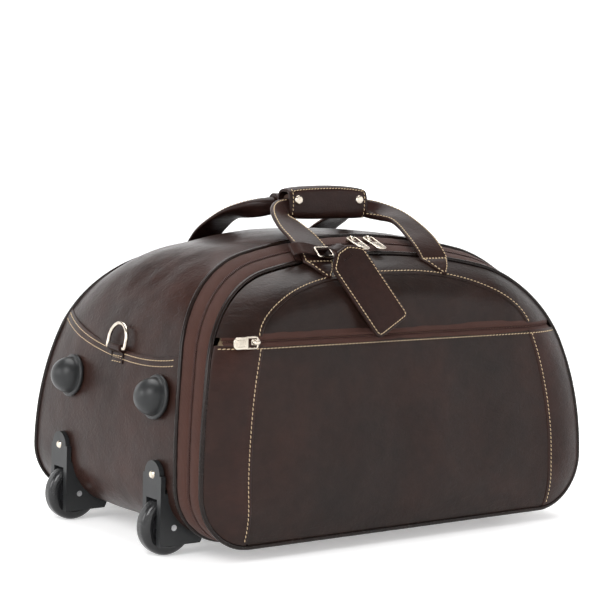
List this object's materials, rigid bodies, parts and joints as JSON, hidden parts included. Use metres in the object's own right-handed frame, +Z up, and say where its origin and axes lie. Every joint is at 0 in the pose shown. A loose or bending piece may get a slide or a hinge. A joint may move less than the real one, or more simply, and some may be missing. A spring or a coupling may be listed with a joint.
{
  "type": "wheeled leather holdall",
  "caption": "Domed leather travel holdall with a zipped front lid, zipped pocket, two carrying handles, luggage tag, two wheels at one end and a pull-out trolley handle at the other",
  "frame": {"origin": "on the floor under the middle of the bag's bounding box", "axes": "+X along the bag from the wheels to the trolley grip, -Y the zipped front, +Z up"},
  "size_m": [0.5501, 0.3524, 0.362],
  "materials": {
    "leather_dark": "glossy waxed dark brown",
    "piping": "glossy",
    "zip_tape": "woven reddish brown",
    "zip_coil": "moulded coil",
    "lining": "woven lining",
    "board": "moulded board",
    "tube": "anodised",
    "black_plastic": "matte black",
    "leather_trim": "glossy dark brown",
    "axle_steel": "plain",
    "nickel": "polished nickel",
    "rubber": "smooth",
    "padding": "rolled core",
    "gloss_black": "gloss black"
  },
  "bodies": {
    "case": {"base_panel": "leather_dark", "end_panel_left": "leather_dark", "end_panel_right": "leather_dark", "top_yoke": "leather_dark", "back_panel": "leather_dark", "rear_piping": "piping", "outer_piping": "piping", "zip_tape_case": "zip_tape", "zip_coil_case": "zip_coil", "lining_shell": "lining", "lining_back": "lining", "base_board": "board", "trolley_sleeves": "tube", "trolley_bezel": "black_plastic", "rear_anchors": "leather_trim", "wheel_housing_front": "black_plastic", "wheel_housing_rear": "black_plastic", "axles": "axle_steel", "housing_rivets": "nickel", "bumper_front": "rubber", "bumper_rear": "rubber", "ring_tab_left": "leather_trim", "ring_tab_right": "leather_trim", "skid_feet": "black_plastic"},
    "lid": {"front_band": "leather_dark", "front_center_panel": "leather_dark", "pocket_panel": "leather_dark", "pocket_side_bands": "leather_dark", "pocket_zip_tape": "zip_tape", "inner_piping": "piping", "zip_tape_lid": "zip_tape", "zip_coil_lid": "zip_coil", "lid_lining": "lining", "front_anchors": "leather_trim", "tag_loop": "leather_trim"},
    "front_handle": {"front_strap": "leather_trim", "front_grip_core": "padding", "grip_wrap": "leather_trim", "wrap_snaps": "nickel"},
    "rear_handle": {"rear_strap": "leather_trim", "rear_grip_core": "padding"},
    "tag": {"tag_strap": "leather_trim", "tag_buckle": "nickel", "tag_body": "leather_trim"},
    "wheel_front": {"tyre_front": "gloss_black", "hub_front": "gloss_black"},
    "wheel_rear": {"tyre_rear": "gloss_black", "hub_rear": "gloss_black"},
    "trolley_middle": {"middle_tubes": "tube"},
    "trolley_top": {"inner_tubes": "tube", "trolley_grip": "black_plastic"},
    "trolley_button": {"trolley_button": "gloss_black"},
    "ring_left": {"d_ring_left": "nickel"},
    "ring_right": {"d_ring_right": "nickel"},
    "main_slider_left": {"main_slider_left": "nickel"},
    "main_slider_right": {"main_slider_right": "nickel"},
    "main_puller_left": {"main_puller_left": "nickel"},
    "main_puller_right": {"main_puller_right": "nickel"},
    "pocket_slider": {"pocket_slider": "nickel"},
    "pocket_puller": {"pocket_puller": "nickel"}
  },
  "joints": [
    {"name": "lid_open", "type": "hinge", "parent": "case", "child": "lid", "pos_m": [0, -0.168, 0.016], "axis": [1, 0, 0], "range_deg": [0, 80]},
    {"name": "front_handle_fold", "type": "hinge", "parent": "lid", "child": "front_handle", "pos_m": [0, -0.101, 0.3018], "axis": [1, 0, 0], "range_deg": [0, 95]},
    {"name": "rear_handle_fold", "type": "hinge", "parent": "case", "child": "rear_handle", "pos_m": [0, 0.1022, 0.3018], "axis": [1, 0, 0], "range_deg": [-95, 0]},
    {"name": "tag_swing", "type": "hinge", "parent": "lid", "child": "tag", "pos_m": [-0.074, -0.1145, 0.3025], "axis": [1, 0, 0], "range_deg": [-70, 0]},
    {"name": "wheel_front_spin", "type": "hinge", "parent": "case", "child": "wheel_front", "pos_m": [-0.245, -0.095, 0.03], "axis": [0, 1, 0], "continuous": true},
    {"name": "wheel_rear_spin", "type": "hinge", "parent": "case", "child": "wheel_rear", "pos_m": [-0.245, 0.095, 0.03], "axis": [0, 1, 0], "continuous": true},
    {"name": "trolley_middle_slide", "type": "slide", "parent": "case", "child": "trolley_middle", "axis": [1, 0, 0], "range_m": [0, 0.24]},
    {"name": "trolley_top_slide", "type": "slide", "parent": "trolley_middle", "child": "trolley_top", "axis": [1, 0, 0], "range_m": [0, 0.22]},
    {"name": "trolley_button_press", "type": "slide", "parent": "trolley_top", "child": "trolley_button", "axis": [1, 0, 0], "range_m": [-0.003, 0], "stiffness_N_per_m": 400},
    {"name": "ring_left_turn", "type": "hinge", "parent": "case", "child": "ring_left", "pos_m": [-0.249, 0, 0.197], "axis": [0, 1, 0], "range_deg": [-170, 0]},
    {"name": "ring_right_turn", "type": "hinge", "parent": "case", "child": "ring_right", "pos_m": [0.249, 0, 0.197], "axis": [0, 1, 0], "range_deg": [0, 170]},
    {"name": "main_slider_left_slide", "type": "slide", "parent": "lid", "child": "main_slider_left", "axis": [1, 0, 0], "range_m": [-0.03, 0]},
    {"name": "main_slider_right_slide", "type": "slide", "parent": "lid", "child": "main_slider_right", "axis": [1, 0, 0], "range_m": [0, 0.03]},
    {"name": "main_puller_left_flip", "type": "hinge", "parent": "main_slider_left", "child": "main_puller_left", "pos_m": [-0.011, -0.079, 0.3113], "axis": [1, 0, 0], "range_deg": [-110, 0]},
    {"name": "main_puller_right_flip", "type": "hinge", "parent": "main_slider_right", "child": "main_puller_right", "pos_m": [0.011, -0.079, 0.3113], "axis": [1, 0, 0], "range_deg": [-110, 0]},
    {"name": "pocket_slider_slide", "type": "slide", "parent": "lid", "child": "pocket_slider", "axis": [1, 0, 0], "range_m": [0, 0.37]},
    {"name": "pocket_puller_flip", "type": "hinge", "parent": "pocket_slider", "child": "pocket_puller", "pos_m": [-0.186, -0.1632, 0.217], "axis": [0, 0, 1], "range_deg": [0, 150]}
  ]
}
